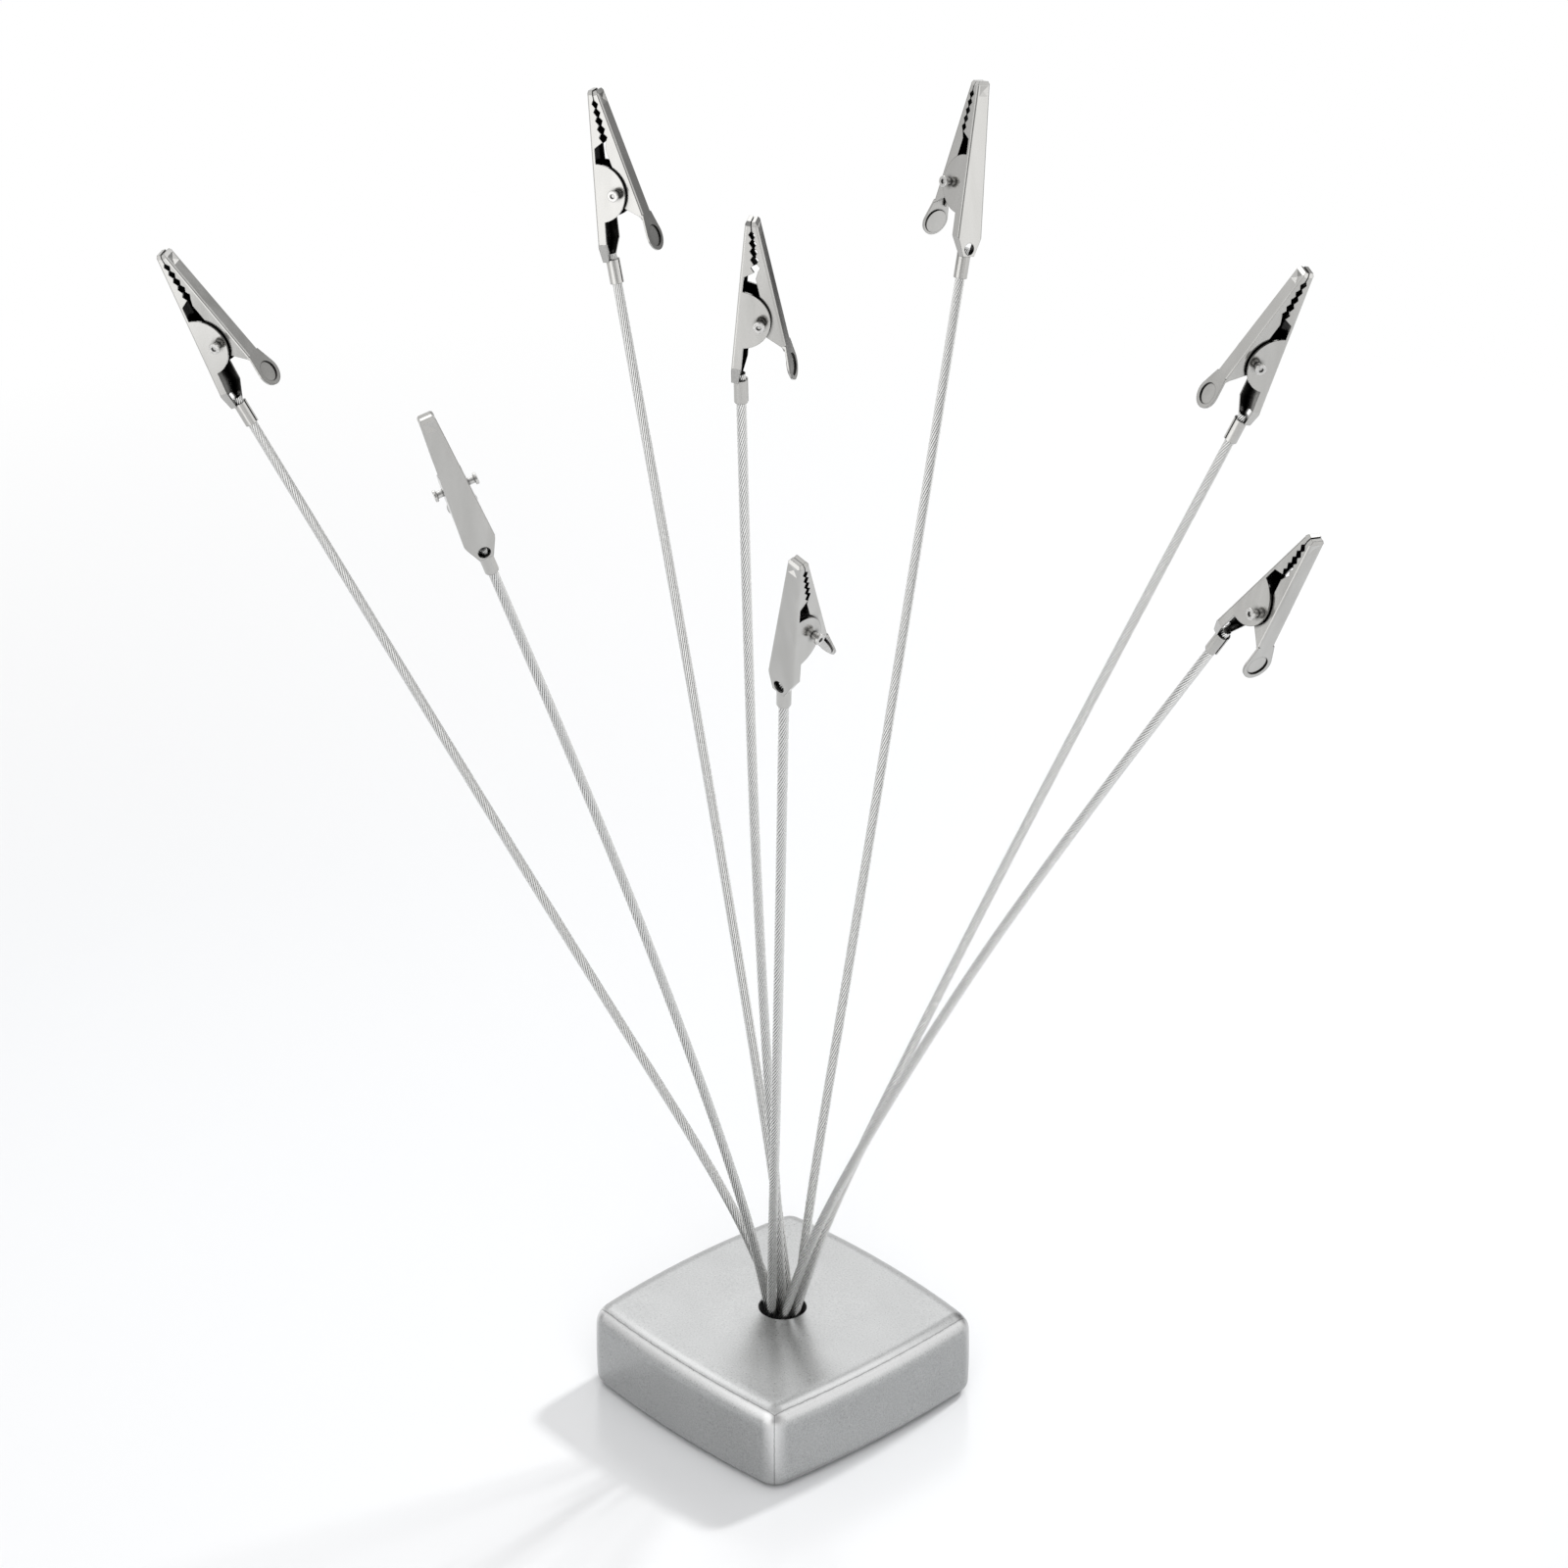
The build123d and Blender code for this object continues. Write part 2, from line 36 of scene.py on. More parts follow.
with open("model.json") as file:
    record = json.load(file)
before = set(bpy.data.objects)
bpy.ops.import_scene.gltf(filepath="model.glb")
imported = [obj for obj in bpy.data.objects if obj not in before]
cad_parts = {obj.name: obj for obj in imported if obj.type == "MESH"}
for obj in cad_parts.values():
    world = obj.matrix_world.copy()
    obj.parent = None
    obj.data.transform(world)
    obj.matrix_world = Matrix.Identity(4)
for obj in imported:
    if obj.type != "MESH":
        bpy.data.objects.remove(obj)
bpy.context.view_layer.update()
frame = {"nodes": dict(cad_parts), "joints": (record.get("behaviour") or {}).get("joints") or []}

MM = 0.001

# Camera: the hole in the block's top, where it lies in the picture and how it is seen
PICTURE_PIXELS = 1600
HOLE_CENTRE = Vector((0, 0, 21 * MM))
HOLE_PIXEL = (798.6, 1332.6)
VIEW_AZIMUTH = 47.5
VIEW_ELEVATION = 33.3
VIEW_DISTANCE = 1.625
LENS = 168.7
SENSOR = 36.0

# Stems: wire rope of twelve outer wires, on the same routes as the solids
STEM_RADIUS = 1.05 * MM
STEM_RING_RADIUS = 3.0 * MM
STEM_RING_COUNT = 7
STEM_RING_START = 4.0
SEAT_BOTTOM = 5.5 * MM
BEND_HEIGHT = 19.0 * MM
RUNS = (30 * MM, 55 * MM, 75 * MM, 82.5 * MM)
EXIT_LEAN_SHARE = 0.72
EASE = 4.0 * MM
ROPE_WIRES = 12
ROPE_LAY = 17.0 * MM
ROPE_STEP = 0.9 * MM
ROUTE_STEPS = 24
WIRE_ARC_STEPS = 6
STEMS = {
    1: {"slot": 3, "heading": 216.5, "lean": 29.0, "bow": -1.0},
    2: {"slot": 4, "heading": 278.0, "lean": 24.0, "bow": 3.5},
    3: {"slot": 2, "heading": 176.5, "lean": 16.0, "bow": 2.5},
    4: {"slot": None, "heading": 296.0, "lean": 3.0, "bow": -5.5},
    5: {"slot": 5, "heading": 319.0, "lean": 24.5, "bow": -5.5},
    6: {"slot": 1, "heading": 104.0, "lean": 15.5, "bow": -1.0},
    7: {"slot": 0, "heading": 45.5, "lean": 24.0, "bow": 1.5},
    8: {"slot": 6, "heading": 7.0, "lean": 32.5, "bow": 6.0},
}

# Torsion spring round each clip's pin
SPRING_WIRE_RADIUS = 0.25 * MM
SPRING_RADIUS = 1.35 * MM
SPRING_PITCH = 1.6 * MM
SPRING_LEG_REACH = 6.6 * MM
SPRING_LOW_LEG = 5.14 * MM
SPRING_HIGH_LEG = 4.48 * MM
SPRING_TURN_STEPS = 32
SPRING_ROUND_STEPS = 4

# Block: how steeply the ridge round its top faces, and the heights between which the painted highlight
# beside its ridges grows
RIDGE_SLOPE = 1.28
HIGHLIGHT_FROM = 3 * MM
HIGHLIGHT_TO = 17 * MM

# Clips: how deep the painted shade in their channels reaches, and how wide the painted dark lines on edges
# and the painted shade in creases are
CHANNEL_REACH = 9.0 * MM
EDGE_REACH = 0.25 * MM
CREASE_REACH = 0.6 * MM

# Foam pad under the block, with the height and inset of its outline from the floor up
PAD_SIDE = 43.8 * MM
PAD_CORNER = 5.9 * MM
PAD_CORNER_STEPS = 8
PAD_SECTION = (
    (0.0 * MM, 0.9 * MM),
    (0.0 * MM, 0.35 * MM),
    (0.18 * MM, 0.08 * MM),
    (0.5 * MM, 0.0 * MM),
    (0.8 * MM, 0.06 * MM),
    (1.15 * MM, 0.0 * MM),
    (1.5 * MM, 0.12 * MM),
    (1.5 * MM, 0.9 * MM),
)

# Studio: what the lamps and cards face, the floor, and how much the surroundings light it
STUDIO_MIDDLE = Vector((0, 0, 0.12))
FLOOR_HALF = 4.0
FLOOR_LIT_REACH = 0.26
FLOOR_WHITE_REACH = 0.55
AMBIENT = 0.36


# Looks


def material_on(name):
    """A new node material: its tree, its main shader and itself."""
    material = bpy.data.materials.new(name)
    material.use_nodes = True
    tree = material.node_tree
    return material, tree, tree.nodes["Principled BSDF"]


def grey(level):
    """A colour without a hue."""
    return level, level, level


def noise(tree, scale, detail, stretch=(1, 1, 1)):
    """Noise on the object's own coordinates, with scale in features to the metre."""
    coords = tree.nodes.new("ShaderNodeTexCoord")
    mapping = tree.nodes.new("ShaderNodeMapping")
    mapping.inputs["Scale"].default_value = stretch
    texture = tree.nodes.new("ShaderNodeTexNoise")
    texture.inputs["Scale"].default_value = scale
    texture.inputs["Detail"].default_value = detail
    tree.links.new(coords.outputs["Object"], mapping.inputs["Vector"])
    tree.links.new(mapping.outputs["Vector"], texture.inputs["Vector"])
    return texture.outputs["Fac"]


def remap(tree, value, low, high, start=0.3, end=0.7):
    """A value that runs from low to high as the given one runs from start to end."""
    node = tree.nodes.new("ShaderNodeMapRange")
    node.inputs["From Min"].default_value = start
    node.inputs["From Max"].default_value = end
    node.inputs["To Min"].default_value = low
    node.inputs["To Max"].default_value = high
    tree.links.new(value, node.inputs["Value"])
    return node.outputs["Result"]


def ramp(tree, value, dark, light, start=0.3, end=0.7):
    """A colour that runs from dark to light as the value runs from start to end."""
    node = tree.nodes.new("ShaderNodeValToRGB")
    node.color_ramp.elements[0].position = start
    node.color_ramp.elements[0].color = (*dark, 1)
    node.color_ramp.elements[1].position = end
    node.color_ramp.elements[1].color = (*light, 1)
    tree.links.new(value, node.inputs["Fac"])
    return node.outputs["Color"]


def occlusion(tree, distance):
    """How open a point is to its surroundings, from 0 in a deep crease to 1."""
    node = tree.nodes.new("ShaderNodeAmbientOcclusion")
    node.inputs["Distance"].default_value = distance
    return node.outputs["AO"]


def flatness(tree, radius):
    """1 on an even face, less within a radius of an edge."""
    rounded = tree.nodes.new("ShaderNodeBevel")
    rounded.inputs["Radius"].default_value = radius
    geometry = tree.nodes.new("ShaderNodeNewGeometry")
    product = tree.nodes.new("ShaderNodeVectorMath")
    product.operation = "DOT_PRODUCT"
    tree.links.new(rounded.outputs["Normal"], product.inputs[0])
    tree.links.new(geometry.outputs["True Normal"], product.inputs[1])
    return product.outputs["Value"]


def multiply(tree, first, second):
    """The product of two colours."""
    node = tree.nodes.new("ShaderNodeMix")
    node.data_type = "RGBA"
    node.blend_type = "MULTIPLY"
    node.inputs["Factor"].default_value = 1.0
    tree.links.new(first, node.inputs["A"])
    tree.links.new(second, node.inputs["B"])
    return node.outputs["Result"]


def fade(tree, share, first, second):
    """A colour that turns from the first to a plain second one as the share rises from 0 to 1."""
    node = tree.nodes.new("ShaderNodeMix")
    node.data_type = "RGBA"
    node.inputs["B"].default_value = (*second, 1)
    tree.links.new(first, node.inputs["A"])
    tree.links.new(share, node.inputs["Factor"])
    return node.outputs["Result"]


def axes_of(tree, space):
    """X, Y and Z of the coordinates, or of the normal, that an object has in a space."""
    coords = tree.nodes.new("ShaderNodeTexCoord")
    parts = tree.nodes.new("ShaderNodeSeparateXYZ")
    tree.links.new(coords.outputs[space], parts.inputs["Vector"])
    return parts.outputs


def math_node(tree, operation, *values):
    """One sum on one or two values, each of which is a socket or a number."""
    node = tree.nodes.new("ShaderNodeMath")
    node.operation = operation
    for socket, value in zip(node.inputs, values):
        if isinstance(value, bpy.types.NodeSocket):
            tree.links.new(value, socket)
        else:
            socket.default_value = value
    return node.outputs["Value"]


def bump(tree, shader, height, strength, distance):
    """Adds relief from a height value to what the shader already has."""
    node = tree.nodes.new("ShaderNodeBump")
    node.inputs["Strength"].default_value = strength
    node.inputs["Distance"].default_value = distance
    normal = shader.inputs["Normal"]
    if normal.is_linked:
        tree.links.new(normal.links[0].from_socket, node.inputs["Normal"])
    tree.links.new(height, node.inputs["Height"])
    tree.links.new(node.outputs["Normal"], normal)


def ridge_of(tree):
    """How far the block's surface faces off the ridges between its faces, and whether it faces up."""
    normal = axes_of(tree, "Normal")
    x = math_node(tree, "ABSOLUTE", normal["X"])
    y = math_node(tree, "ABSOLUTE", normal["Y"])
    level = math_node(tree, "MULTIPLY", math_node(tree, "MAXIMUM", x, y), RIDGE_SLOPE)
    top = math_node(tree, "ABSOLUTE", math_node(tree, "SUBTRACT", normal["Z"], level))
    upright = math_node(tree, "ABSOLUTE", math_node(tree, "SUBTRACT", x, y))
    facing_up = remap(tree, normal["Z"], low=0.0, high=1.0, start=0.7, end=0.8)
    upright = math_node(tree, "ADD", upright, facing_up)
    return math_node(tree, "MINIMUM", top, upright), facing_up


def satin_steel():
    """The block: blasted and plated, with a fine pearly grain; a painted highlight beside its ridges,
    growing with height, and a painted dark reflection line along them.
    """
    material, tree, shader = material_on("satin_steel")
    grain = noise(tree, scale=2600, detail=2.0)
    cloud = noise(tree, scale=90, detail=3.0)
    tone = ramp(tree, grain, dark=(0.34, 0.345, 0.345), light=(0.46, 0.465, 0.465))
    plain = multiply(tree, tone, ramp(tree, cloud, dark=grey(0.94), light=grey(1.0)))

    ridge, facing_up = ridge_of(tree)
    # Painted highlight: lighter beside the ridges, weaker on the top face, and growing with height up the
    # block.
    ridge_highlight = remap(tree, ridge, low=1.0, high=0.0, start=0.05, end=0.85)
    ridge_highlight = math_node(tree, "MULTIPLY", ridge_highlight, remap(tree, facing_up, low=1.0, high=0.2, start=0, end=1))
    height = axes_of(tree, "Object")["Z"]
    upper = remap(tree, height, low=0.25, high=1.0, start=HIGHLIGHT_FROM, end=HIGHLIGHT_TO)
    bright = fade(tree, math_node(tree, "MULTIPLY", ridge_highlight, upper), plain, grey(0.8))
    # Painted reflection: a thin dark line along each ridge.
    line = ramp(tree, ridge, dark=grey(0.55), light=grey(1.0), start=0.015, end=0.06)
    tree.links.new(multiply(tree, bright, line), shader.inputs["Base Color"])
    shader.inputs["Metallic"].default_value = 1.0
    tree.links.new(remap(tree, grain, low=0.27, high=0.38), shader.inputs["Roughness"])
    bump(tree, shader, grain, strength=0.2, distance=0.02 * MM)
    return material


def rope_steel():
    """Drawn wire of the rope, bright on the crowns, with painted shade darkening the grooves between the
    wires.
    """
    material, tree, shader = material_on("rope_steel")
    draw = noise(tree, scale=1500, detail=2.0)
    tone = ramp(tree, draw, dark=(0.66, 0.66, 0.65), light=(0.76, 0.76, 0.75))
    crown = tree.nodes.new("ShaderNodeAttribute")
    crown.attribute_name = "crown"
    # Painted shade: the wire goes near black towards the grooves between wires.
    groove = ramp(tree, crown.outputs["Fac"], dark=grey(0.06), light=grey(1.0), start=0.05, end=0.75)
    tree.links.new(multiply(tree, tone, groove), shader.inputs["Base Color"])
    shader.inputs["Metallic"].default_value = 1.0
    tree.links.new(remap(tree, draw, low=0.2, high=0.3), shader.inputs["Roughness"])
    return material


def nickel_plate():
    """Bright nickel on pressed sheet, with faint rolling marks; painted shade darkens the channels, and
    painted dark lines run along edges and folds.
    """
    material, tree, shader = material_on("nickel_plate")
    peel = noise(tree, scale=700, detail=2.0)
    mark = noise(tree, scale=260, detail=4.0, stretch=(1, 1, 0.15))
    tone = ramp(tree, mark, dark=(0.46, 0.455, 0.44), light=(0.53, 0.525, 0.51))
    # Painted shade: near black deep in the channels and between the jaws.
    openness = occlusion(tree, CHANNEL_REACH)
    inside = ramp(tree, openness, dark=grey(0.015), light=grey(1.0), start=0.45, end=0.8)
    # Painted shade: dark lines along the edges and folds of the sheet.
    evenness = flatness(tree, EDGE_REACH)
    edge = ramp(tree, evenness, dark=grey(0.16), light=grey(1.0), start=0.8, end=0.97)
    tree.links.new(multiply(tree, tone, multiply(tree, inside, edge)), shader.inputs["Base Color"])
    shader.inputs["Metallic"].default_value = 1.0
    tree.links.new(remap(tree, mark, low=0.13, high=0.22), shader.inputs["Roughness"])
    bump(tree, shader, peel, strength=0.05, distance=0.01 * MM)
    return material


def turned_steel():
    """Pins: turned, then spread at the ends, with painted shade in their creases."""
    material, tree, shader = material_on("turned_steel")
    turn = noise(tree, scale=2200, detail=3.0)
    tone = ramp(tree, turn, dark=(0.5, 0.495, 0.485), light=(0.7, 0.695, 0.68))
    # Painted shade: darker in creases and close beside other surfaces.
    openness = occlusion(tree, CREASE_REACH)
    crease = ramp(tree, openness, dark=grey(0.12), light=grey(1.0), start=0.4, end=0.85)
    tree.links.new(multiply(tree, tone, crease), shader.inputs["Base Color"])
    shader.inputs["Metallic"].default_value = 1.0
    tree.links.new(remap(tree, turn, low=0.2, high=0.34), shader.inputs["Roughness"])
    bump(tree, shader, turn, strength=0.15, distance=0.02 * MM)
    return material


def spring_wire():
    """Grey spring wire with a thin film of oil."""
    material, tree, shader = material_on("spring_wire")
    film = noise(tree, scale=1300, detail=3.0)
    tone = ramp(tree, film, dark=(0.2, 0.195, 0.185), light=(0.34, 0.335, 0.32))
    tree.links.new(tone, shader.inputs["Base Color"])
    shader.inputs["Metallic"].default_value = 1.0
    tree.links.new(remap(tree, film, low=0.22, high=0.36), shader.inputs["Roughness"])
    return material


def cast_socket():
    """Dark plug at the bottom of the bore, with glue round the stems; its near-black tone is partly dark
    oxidised steel and partly painted shade of the deep bore.
    """
    material, tree, shader = material_on("cast_socket")
    skin = noise(tree, scale=900, detail=4.0)
    # Painted shade: the plug is near black, as the bottom of the bore looks.
    tree.links.new(ramp(tree, skin, dark=grey(0.02), light=grey(0.05)), shader.inputs["Base Color"])
    shader.inputs["Metallic"].default_value = 0.6
    tree.links.new(remap(tree, skin, low=0.5, high=0.7), shader.inputs["Roughness"])
    bump(tree, shader, skin, strength=0.3, distance=0.1 * MM)
    return material


def foam():
    """Closed-cell foam."""
    material, tree, shader = material_on("foam")
    cells = noise(tree, scale=2600, detail=2.0)
    tone = ramp(tree, cells, dark=(0.02, 0.02, 0.021), light=(0.05, 0.05, 0.052))
    tree.links.new(tone, shader.inputs["Base Color"])
    shader.inputs["Roughness"].default_value = 0.85
    bump(tree, shader, cells, strength=0.5, distance=0.1 * MM)
    return material


def finish_node(name, material):
    """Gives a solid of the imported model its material."""
    mesh = frame["nodes"][name].data
    for index in range(len(mesh.materials)):
        mesh.materials[index] = material


# Shapes


def add_object(name, mesh, material):
    """Links a mesh to the scene with one material."""
    mesh.materials.append(material)
    piece = bpy.data.objects.new(name, mesh)
    bpy.context.scene.collection.objects.link(piece)
    return piece


def foot_of(stem):
    """Where a stem stands in the bore, seen from above."""
    if stem["slot"] is None:
        return Vector((0, 0, 0))
    angle = math.radians(STEM_RING_START + stem["slot"] * 360 / STEM_RING_COUNT)
    return Vector((math.cos(angle), math.sin(angle), 0)) * STEM_RING_RADIUS


def heading_of(stem):
    """Level direction in which a stem leans."""
    angle = math.radians(stem["heading"])
    return Vector((math.cos(angle), math.sin(angle), 0))


def stem_route(stem):
    """Control points of a stem's line, from its seat to its end inside the clip."""
    low = stem["lean"] - stem["bow"]
    leans = (EXIT_LEAN_SHARE * low, low, low + stem["bow"] / 2, stem["lean"])
    foot = foot_of(stem)
    bend = foot + Vector((0, 0, BEND_HEIGHT))
    ways = []
    for lean in leans:
        angle = math.radians(lean)
        ways.append(heading_of(stem) * math.sin(angle) + Vector((0, 0, math.cos(angle))))
    points = [foot + Vector((0, 0, SEAT_BOTTOM)), bend - Vector((0, 0, EASE)), bend, bend + ways[0] * EASE]
    corner = bend
    for way, run in zip(ways, RUNS):
        corner = corner + way * run
        points.append(corner)
    return points


def smooth_line(points, step):
    """Points spaced evenly along the spline that the control points give."""
    curve = bpy.data.curves.new("route", "CURVE")
    curve.dimensions = "3D"
    curve.resolution_u = ROUTE_STEPS
    spline = curve.splines.new("NURBS")
    spline.points.add(len(points) - 1)
    for place, point in zip(spline.points, points):
        place.co = (*point, 1)
    spline.order_u = 3
    spline.use_endpoint_u = True
    carrier = bpy.data.objects.new("route", curve)
    mesh = bpy.data.meshes.new_from_object(carrier)
    line = [vertex.co.copy() for vertex in mesh.vertices]
    bpy.data.meshes.remove(mesh)
    bpy.data.objects.remove(carrier)
    bpy.data.curves.remove(curve)

    travelled = [0.0]
    for a, b in zip(line, line[1:]):
        travelled.append(travelled[-1] + (b - a).length)
    count = round(travelled[-1] / step)
    even = []
    index = 0
    for i in range(count + 1):
        distance = travelled[-1] * i / count
        while index < len(line) - 2 and travelled[index + 1] < distance:
            index += 1
        share = (distance - travelled[index]) / (travelled[index + 1] - travelled[index])
        even.append(line[index].lerp(line[index + 1], share))
    return even


def rope_section():
    """Outline of the rope's wires, from groove to groove, as points round its middle."""
    half = math.pi / ROPE_WIRES
    ring = STEM_RADIUS / (1 + math.sin(half))
    wire = STEM_RADIUS - ring
    reach = math.pi / 2 + half
    outline = []
    for k in range(ROPE_WIRES):
        for j in range(WIRE_ARC_STEPS):
            turn = reach * (2 * j / WIRE_ARC_STEPS - 1)
            point = Vector((ring + wire * math.cos(turn), wire * math.sin(turn), 0))
            outline.append(Matrix.Rotation(2 * half * k, 3, "Z") @ point)
    return outline


def rope(name, line, across, material):
    """Rope along a line that stays in one upright plane, which across stands square to."""
    outline = rope_section()
    count = len(outline)
    step = (line[-1] - line[-2]).length
    vertices = []
    for i, place in enumerate(line):
        way = (line[min(i + 1, len(line) - 1)] - line[max(i - 1, 0)]).normalized()
        side = across.cross(way)
        twist = Matrix.Rotation(-2 * math.pi * i * step / ROPE_LAY, 3, "Z")
        for point in outline:
            turned = twist @ point
            vertices.append(place + side * turned.x - across * turned.y)
    faces = []
    for i in range(len(line) - 1):
        for j in range(count):
            after = (j + 1) % count
            faces.append((i * count + j, i * count + after, (i + 1) * count + after, (i + 1) * count + j))
    for ring, middle in ((0, line[0]), (len(line) - 1, line[-1])):
        vertices.append(middle)
        hub = len(vertices) - 1
        for j in range(count):
            pair = (ring * count + j, ring * count + (j + 1) % count)
            faces.append((hub, *(reversed(pair) if ring == 0 else pair)))
    mesh = bpy.data.meshes.new(name)
    mesh.from_pydata(vertices, [], faces)
    mesh.shade_smooth()
    crown = mesh.attributes.new("crown", "FLOAT", "POINT")
    for index in range(len(line) * count):
        crown.data[index].value = math.sin(math.pi * (index % WIRE_ARC_STEPS) / WIRE_ARC_STEPS)
    for edge in mesh.edges:
        a, b = edge.vertices
        groove = a % count == b % count and a % WIRE_ARC_STEPS == 0
        end = abs(a - b) != count and (min(a, b) < count or max(a, b) >= (len(line) - 1) * count)
        edge.use_edge_sharp = groove or end
    return add_object(name, mesh, material)


def spring_line(pin, along, across, up):
    """Line of a torsion spring: leg on the fixed jaw, coil round the pin, leg under the lever."""
    low = (-SPRING_LEG_REACH, -SPRING_LOW_LEG)
    high = (-SPRING_LEG_REACH, SPRING_HIGH_LEG)

    def touch(leg, side):
        return math.atan2(leg[1], leg[0]) + side * math.acos(SPRING_RADIUS / math.hypot(*leg))

    first = touch(low, 1)
    last = touch(high, -1) + 2 * math.pi
    width = SPRING_PITCH * (last - first) / (2 * math.pi)
    count = round(SPRING_TURN_STEPS * (last - first) / (2 * math.pi))
    line = [(low[0], -width / 2, low[1])]
    for i in range(count + 1):
        angle = first + (last - first) * i / count
        x, z = SPRING_RADIUS * math.cos(angle), SPRING_RADIUS * math.sin(angle)
        line.append((x, width * (i / count - 0.5), z))
    line.append((high[0], width / 2, high[1]))
    return [pin + along * x + across * y + up * z for x, y, z in line]


def wire(name, line, radius, material):
    """Round wire along a line of points, with closed ends."""
    curve = bpy.data.curves.new(name, "CURVE")
    curve.dimensions = "3D"
    curve.bevel_depth = radius
    curve.bevel_resolution = SPRING_ROUND_STEPS
    curve.use_fill_caps = True
    spline = curve.splines.new("POLY")
    spline.points.add(len(line) - 1)
    for place, point in zip(spline.points, line):
        place.co = (*point, 1)
    carrier = bpy.data.objects.new(name, curve)
    mesh = bpy.data.meshes.new_from_object(carrier)
    bpy.data.objects.remove(carrier)
    bpy.data.curves.remove(curve)
    mesh.shade_smooth()
    return add_object(name, mesh, material)


def pad_outline(inset):
    """Rounded square, drawn in by inset."""
    reach = PAD_SIDE / 2 - PAD_CORNER
    points = []
    for corner in range(4):
        middle = Matrix.Rotation(corner * math.pi / 2, 2) @ Vector((reach, reach))
        for i in range(PAD_CORNER_STEPS + 1):
            angle = (corner + i / PAD_CORNER_STEPS) * math.pi / 2
            points.append(middle + Vector((math.cos(angle), math.sin(angle))) * (PAD_CORNER - inset))
    return points


def pad(material):
    """Soft pad, drawn in a little round its middle and rounded where it meets the floor."""
    vertices = []
    faces = []
    for height, inset in PAD_SECTION:
        vertices += [(p.x, p.y, height) for p in pad_outline(inset)]
    count = len(pad_outline(0))
    for level in range(len(PAD_SECTION) - 1):
        for j in range(count):
            after = (j + 1) % count
            base = level * count
            faces.append((base + j, base + after, base + count + after, base + count + j))
    faces.append(tuple(reversed(range(count))))
    faces.append(tuple(range(len(vertices) - count, len(vertices))))
    mesh = bpy.data.meshes.new("foam_pad")
    mesh.from_pydata(vertices, [], faces)
    mesh.shade_smooth()
    return add_object("foam_pad", mesh, material)


# Studio


def toward(azimuth, elevation):
    """Direction from the object, with azimuth 0 on the -Y side and growing towards +X."""
    a = math.radians(azimuth)
    e = math.radians(elevation)
    return Vector((math.sin(a) * math.cos(e), -math.cos(a) * math.cos(e), math.sin(e)))


def add_camera():
    """The picture's camera, turned so that the hole lands on its pixel."""
    data = bpy.data.cameras.new("camera")
    data.lens = LENS
    data.sensor_width = SENSOR
    camera = bpy.data.objects.new("camera", data)
    bpy.context.scene.collection.objects.link(camera)
    focal = LENS / SENSOR * PICTURE_PIXELS
    pitch = math.radians(VIEW_ELEVATION) - math.atan((HOLE_PIXEL[1] - PICTURE_PIXELS / 2) / focal)
    aside = math.atan((HOLE_PIXEL[0] - PICTURE_PIXELS / 2) / focal)
    yaw = math.radians(VIEW_AZIMUTH) + aside / math.cos(pitch)
    camera.location = HOLE_CENTRE + toward(VIEW_AZIMUTH, VIEW_ELEVATION) * VIEW_DISTANCE
    camera.rotation_euler = (math.pi / 2 - pitch, 0, yaw)
    bpy.context.scene.camera = camera


def facing(place):
    """Rotation that turns a lamp or a card at a place towards the object."""
    return (STUDIO_MIDDLE - place).to_track_quat("-Z", "Y").to_euler()


def softbox(name, azimuth, elevation, distance, size, radiance, shines=False):
    """Lamp of an even brightness that either lights the floor or shows in the metal, never both."""
    data = bpy.data.lights.new(name, "AREA")
    data.shape = "RECTANGLE"
    data.size, data.size_y = size
    data.energy = radiance * math.pi * size[0] * size[1]
    lamp = bpy.data.objects.new(name, data)
    bpy.context.scene.collection.objects.link(lamp)
    lamp.location = STUDIO_MIDDLE + toward(azimuth, elevation) * distance
    lamp.rotation_euler = facing(lamp.location)
    lamp.visible_camera = False
    lamp.visible_diffuse = shines
    lamp.visible_glossy = not shines


def card(name, azimuth, elevation, distance, size, low, high):
    """Grey card that only shows in the metal, shaded from its lower edge to its upper one."""
    material = bpy.data.materials.new(name)
    material.use_nodes = True
    tree = material.node_tree
    tree.nodes.clear()
    glow = tree.nodes.new("ShaderNodeEmission")
    height = axes_of(tree, "Generated")["Y"]
    tree.links.new(remap(tree, height, low, high, start=0, end=1), glow.inputs["Strength"])
    output = tree.nodes.new("ShaderNodeOutputMaterial")
    tree.links.new(glow.outputs["Emission"], output.inputs["Surface"])
    w, h = size[0] / 2, size[1] / 2
    mesh = bpy.data.meshes.new(name)
    mesh.from_pydata([(-w, -h, 0), (w, -h, 0), (w, h, 0), (-w, h, 0)], [], [(0, 1, 2, 3)])
    piece = add_object(name, mesh, material)
    piece.location = STUDIO_MIDDLE + toward(azimuth, elevation) * distance
    piece.rotation_euler = facing(piece.location)
    piece.visible_camera = False
    piece.visible_diffuse = False
    piece.visible_shadow = False


def seen_rays(tree):
    """1 on rays from the camera, a mirror or glass, and 0 on rays that gather light."""
    path = tree.nodes.new("ShaderNodeLightPath")
    seen = path.outputs["Is Camera Ray"]
    for ray in ("Is Glossy Ray", "Is Transmission Ray"):
        seen = math_node(tree, "MAXIMUM", seen, path.outputs[ray])
    return seen


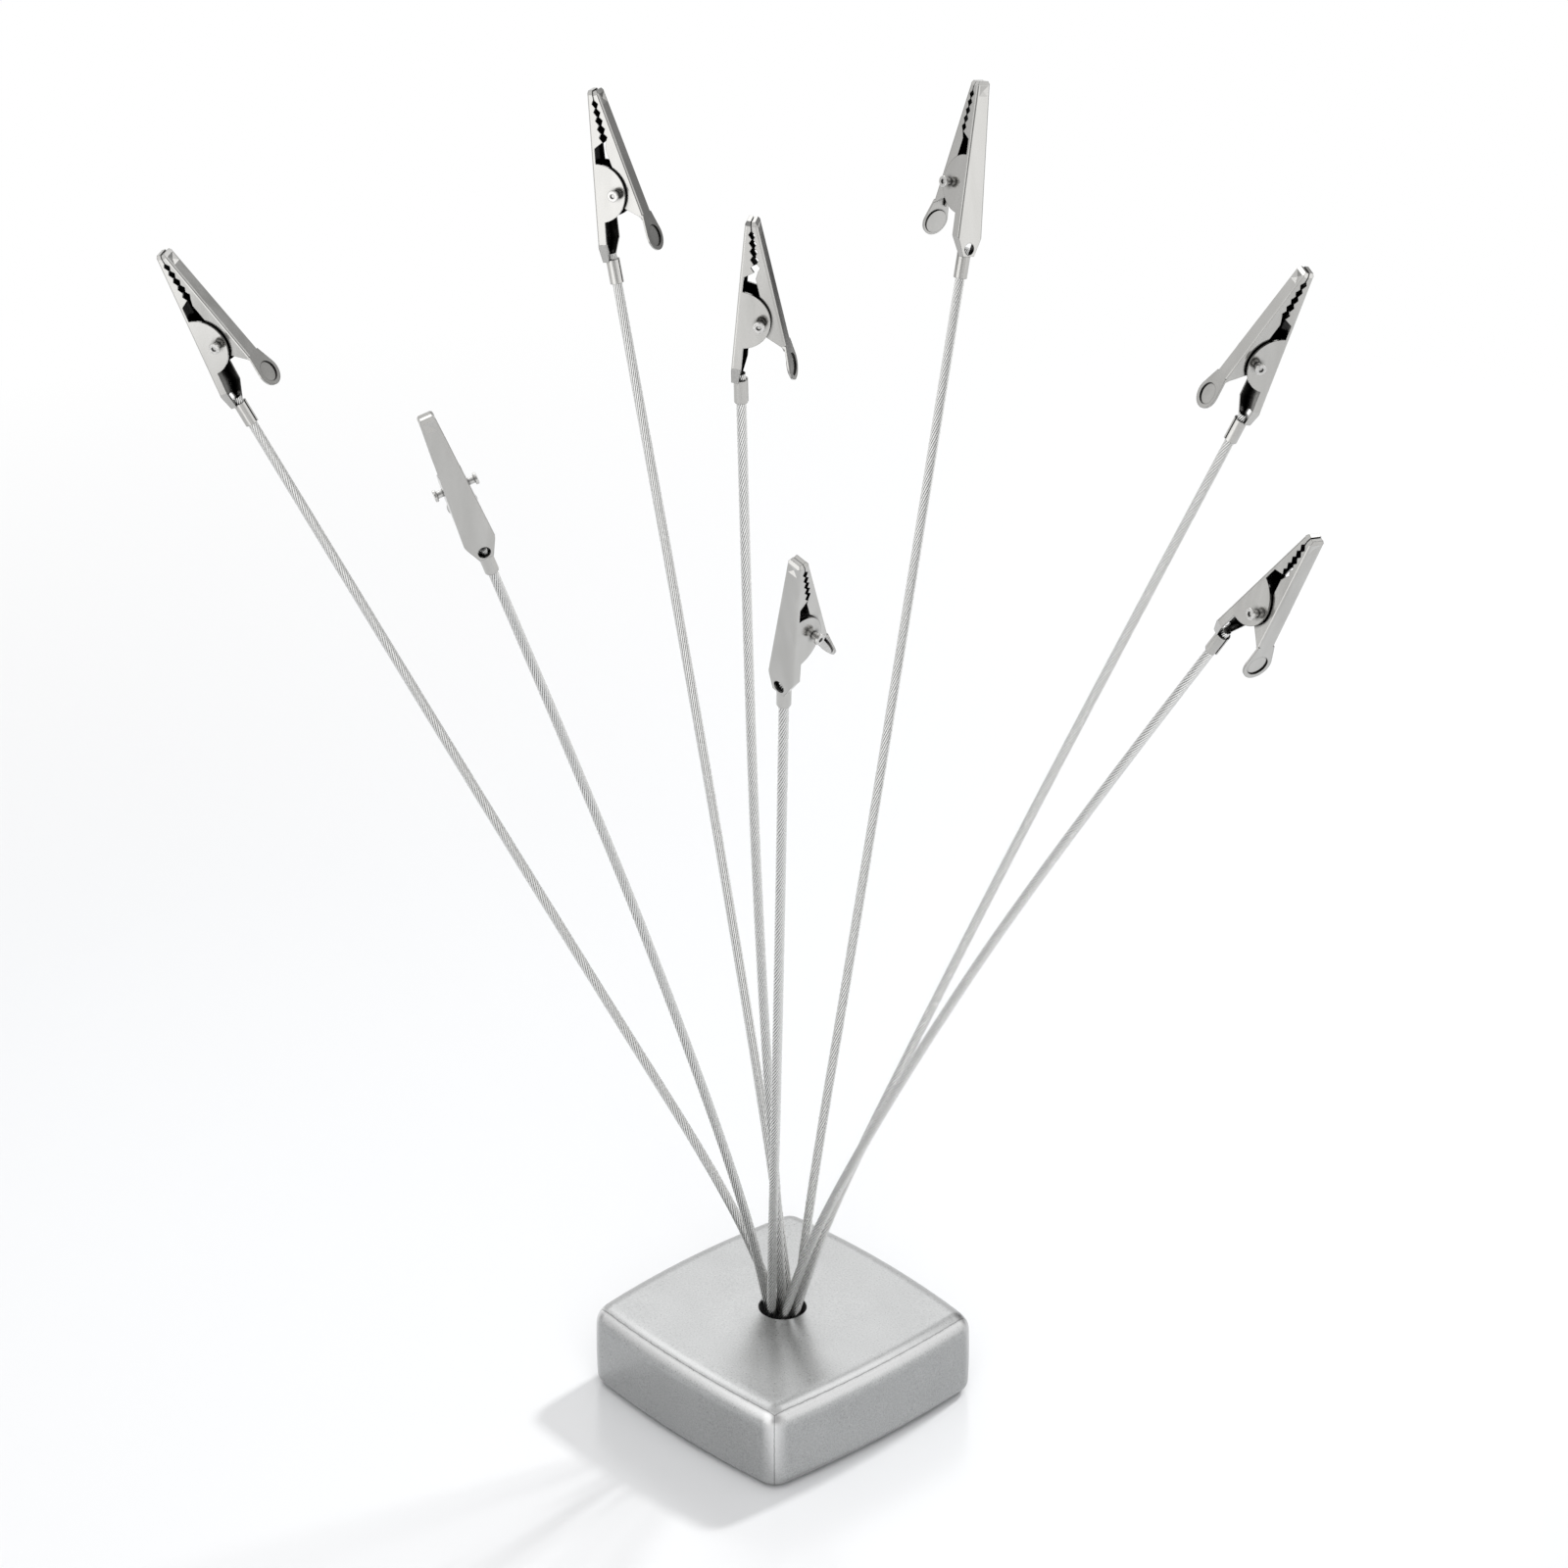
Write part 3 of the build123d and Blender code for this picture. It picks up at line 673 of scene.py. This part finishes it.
def add_floor():
    """White sheet under the object, which shows as plain white further out."""
    material, tree, shader = material_on("floor_sheet")
    shade = noise(tree, scale=3.0, detail=2.0)
    tone = ramp(tree, shade, dark=(0.885, 0.895, 0.91), light=(0.895, 0.9, 0.91))
    tree.links.new(tone, shader.inputs["Base Color"])
    shader.inputs["Roughness"].default_value = 0.22
    coords = tree.nodes.new("ShaderNodeTexCoord")
    reach = tree.nodes.new("ShaderNodeVectorMath")
    reach.operation = "LENGTH"
    tree.links.new(coords.outputs["Object"], reach.inputs[0])
    far = remap(tree, reach.outputs["Value"], low=0, high=1, start=FLOOR_LIT_REACH, end=FLOOR_WHITE_REACH)
    white = tree.nodes.new("ShaderNodeEmission")
    sheet = tree.nodes.new("ShaderNodeMixShader")
    tree.links.new(math_node(tree, "MULTIPLY", far, seen_rays(tree)), sheet.inputs["Fac"])
    tree.links.new(shader.outputs["BSDF"], sheet.inputs[1])
    tree.links.new(white.outputs["Emission"], sheet.inputs[2])
    tree.links.new(sheet.outputs["Shader"], tree.nodes["Material Output"].inputs["Surface"])
    mesh = bpy.data.meshes.new("floor")
    s = FLOOR_HALF
    mesh.from_pydata([(-s, -s, 0), (s, -s, 0), (s, s, 0), (-s, s, 0)], [], [(0, 1, 2, 3)])
    add_object("floor", mesh, material)


def add_world():
    """White surroundings, which light the floor a little less than they show."""
    world = bpy.data.worlds.new("studio")
    bpy.context.scene.world = world
    world.use_nodes = True
    tree = world.node_tree
    background = tree.nodes["Background"]
    background.inputs["Color"].default_value = (1, 1, 1, 1)
    strength = remap(tree, seen_rays(tree), low=AMBIENT, high=1.0, start=0, end=1)
    tree.links.new(strength, background.inputs["Strength"])


# Dress the solids

steel = satin_steel()
nickel = nickel_plate()
turned = turned_steel()
rope_metal = rope_steel()
spring_metal = spring_wire()

finish_node("base_block", steel)
finish_node("stem_socket", cast_socket())

foam_pad = pad(foam())
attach(foam_pad, "base")
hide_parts("base_pad")

joints = {joint["name"]: joint for joint in frame["joints"]}

for number, stem in STEMS.items():
    finish_node(f"clip_{number}_fixed_jaw", nickel)
    finish_node(f"clip_{number}_lever_jaw", nickel)
    finish_node(f"clip_{number}_pivot_pin", turned)

    route = stem_route(stem)
    across = Vector((0, 0, 1)).cross(heading_of(stem))
    strand = rope(f"stem_{number}_rope", smooth_line(route, ROPE_STEP), across, rope_metal)
    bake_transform(strand)
    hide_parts(f"stem_{number}", f"stem_{number}_root")

    hinge = joints[f"clip_{number}_open"]
    pin = Vector(hinge["pos_m"])
    along = (route[-1] - route[-2]).normalized()
    clip_across = -Vector(hinge["axis"]).normalized()
    up = along.cross(clip_across)
    coil_line = spring_line(pin, along, clip_across, up)
    coil = wire(f"clip_{number}_spring", coil_line, SPRING_WIRE_RADIUS, spring_metal)
    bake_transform(coil)
    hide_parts(f"clip_{number}_torsion_spring")

# Studio set-up

add_camera()
add_floor()
add_world()
softbox("key", azimuth=185, elevation=40, distance=1.6, size=(0.16, 0.16), radiance=165, shines=True)
softbox("overhead", azimuth=47, elevation=84, distance=1.6, size=(1.2, 1.2), radiance=1.4, shines=True)
softbox("fill", azimuth=50, elevation=40, distance=1.6, size=(1.2, 1.2), radiance=2.1, shines=True)
softbox("back", azimuth=228, elevation=38, distance=1.6, size=(1.2, 0.8), radiance=0.95)
softbox("right_top", azimuth=165, elevation=50, distance=1.4, size=(0.6, 0.6), radiance=1.6)
softbox("left_top", azimuth=275, elevation=50, distance=1.4, size=(0.6, 0.5), radiance=1.6)
softbox("right", azimuth=118, elevation=6, distance=1.2, size=(0.7, 0.7), radiance=0.5)
card("front_card", azimuth=358, elevation=12.5, distance=0.37, size=(0.34, 0.315), low=1.75, high=1.75)
card("back_card", azimuth=181.9, elevation=17.6, distance=0.629, size=(0.45, 0.62), low=0.1, high=0.6)
card("left_card", azimuth=292, elevation=0, distance=1.2, size=(0.5, 0.9), low=0.1, high=0.75)
card("camera_card", VIEW_AZIMUTH, VIEW_ELEVATION, distance=1.75, size=(1.8, 1.8), low=0.4, high=0.4)

bpy.context.scene.view_settings.view_transform = "Standard"

bpy.context.view_layer.update()
